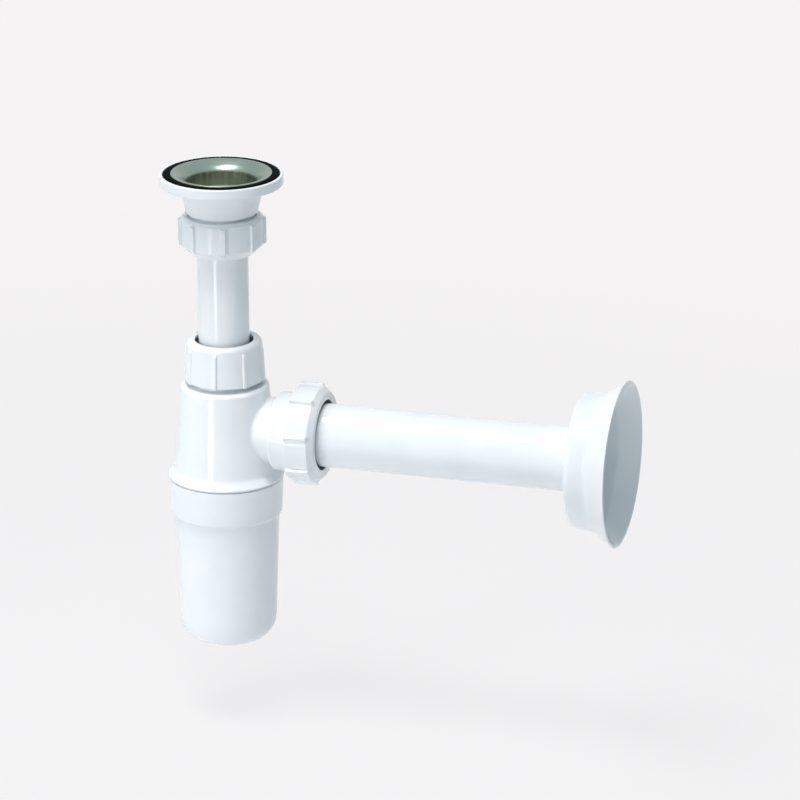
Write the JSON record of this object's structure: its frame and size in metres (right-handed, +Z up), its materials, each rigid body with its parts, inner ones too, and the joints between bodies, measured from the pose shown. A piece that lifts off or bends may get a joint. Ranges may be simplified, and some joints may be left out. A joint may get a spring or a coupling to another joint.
{
  "type": "bottle trap",
  "caption": "White plastic bottle trap for a washbasin: clamped basin waste with strainer, adjustable inlet tube, bottle with screw-off cup, outlet tube and sliding wall rosette.",
  "frame": {"origin": "middle of the basin seat, on top of the gasket, on the axis of the waste", "axes": "+Z up along the waste, inlet tube and bottle, out of the basin seat; +X along the outlet tube towards the wall"},
  "size_m": [0.2957, 0.104, 0.3085],
  "materials": {
    "white_plastic": "gloss white, moulded",
    "slip_ring_plastic": "black, matt",
    "stainless_steel": "pressed and polished",
    "brass": "turned",
    "gasket_rubber": "black, satin",
    "seal_rubber": "dark grey, matt"
  },
  "bodies": {
    "waste": {"waste_body": "white_plastic", "basin_gasket": "gasket_rubber", "insert_nut": "brass"},
    "strainer": {"strainer_cup": "stainless_steel"},
    "screw": {"clamp_screw": "stainless_steel"},
    "inlet_pipe": {"inlet_pipe": "white_plastic", "waste_washer": "seal_rubber"},
    "waste_nut": {"waste_nut": "white_plastic"},
    "inlet_seal": {"inlet_cone_seal": "seal_rubber"},
    "trap_body": {"trap_body": "white_plastic", "outlet_cone_seal": "seal_rubber"},
    "inlet_ring": {"inlet_thrust_ring": "slip_ring_plastic"},
    "inlet_nut": {"inlet_nut": "white_plastic"},
    "cup_seal": {"cup_seal": "seal_rubber"},
    "bottle_cup": {"bottle_cup": "white_plastic"},
    "outlet_ring": {"outlet_thrust_ring": "slip_ring_plastic"},
    "outlet_nut": {"outlet_nut": "white_plastic"},
    "outlet_pipe": {"outlet_pipe": "white_plastic"},
    "wall_rosette": {"wall_rosette": "white_plastic"}
  },
  "joints": [
    {"name": "strainer_lift", "type": "slide", "parent": "waste", "child": "strainer", "axis": [0, 0, 1], "range_m": [0, 0.012]},
    {"name": "screw_turn", "type": "hinge", "parent": "strainer", "child": "screw", "pos_m": [0, 0, -0.05], "axis": [0, 0, 1], "range_deg": [0, 4320.7]},
    {"name": "trap_drop", "type": "slide", "parent": "waste", "child": "inlet_pipe", "axis": [0, 0, -1], "range_m": [0, 0.01155]},
    {"name": "waste_nut_turn", "type": "hinge", "parent": "inlet_pipe", "child": "waste_nut", "pos_m": [0, 0, -0.05], "axis": [0, 0, -1], "range_deg": [0, 1800]},
    {"name": "height_adjust", "type": "slide", "parent": "inlet_pipe", "child": "inlet_seal", "axis": [0, 0, 1], "range_m": [-0.025, 0.04]},
    {"name": "body_swivel", "type": "hinge", "parent": "inlet_seal", "child": "trap_body", "pos_m": [0, 0, -0.05], "axis": [0, 0, 1], "continuous": true},
    {"name": "inlet_ring_rise", "type": "slide", "parent": "trap_body", "child": "inlet_ring", "axis": [0, 0, 1], "range_m": [0, 0.01155]},
    {"name": "inlet_nut_turn", "type": "hinge", "parent": "inlet_ring", "child": "inlet_nut", "pos_m": [0, 0, -0.05], "axis": [0, 0, 1], "range_deg": [0, 1800]},
    {"name": "cup_drop", "type": "slide", "parent": "trap_body", "child": "cup_seal", "axis": [0, 0, -1], "range_m": [0, 0.014]},
    {"name": "cup_turn", "type": "hinge", "parent": "cup_seal", "child": "bottle_cup", "pos_m": [0, 0, -0.05], "axis": [0, 0, -1], "range_deg": [0, 1260]},
    {"name": "outlet_ring_slip", "type": "slide", "parent": "trap_body", "child": "outlet_ring", "axis": [1, 0, 0], "range_m": [0, 0.00924]},
    {"name": "outlet_nut_turn", "type": "hinge", "parent": "outlet_ring", "child": "outlet_nut", "pos_m": [0.06, 0, -0.1658], "axis": [1, 0, 0], "range_deg": [0, 1440]},
    {"name": "outlet_slide", "type": "slide", "parent": "trap_body", "child": "outlet_pipe", "axis": [1, 0, 0], "range_m": [-0.0035, 0.009]},
    {"name": "rosette_slide", "type": "slide", "parent": "outlet_pipe", "child": "wall_rosette", "axis": [1, 0, 0], "range_m": [-0.145, 0.004]}
  ],
  "couplings": [
    {"joint": "screw_turn", "follows": "strainer_lift", "rad_per_m": 6283.2},
    {"joint": "trap_drop", "follows": "waste_nut_turn", "m_per_rad": 0.00036749},
    {"joint": "inlet_ring_rise", "follows": "inlet_nut_turn", "m_per_rad": 0.00036749},
    {"joint": "cup_drop", "follows": "cup_turn", "m_per_rad": 0.00063662},
    {"joint": "outlet_ring_slip", "follows": "outlet_nut_turn", "m_per_rad": 0.00036749}
  ]
}
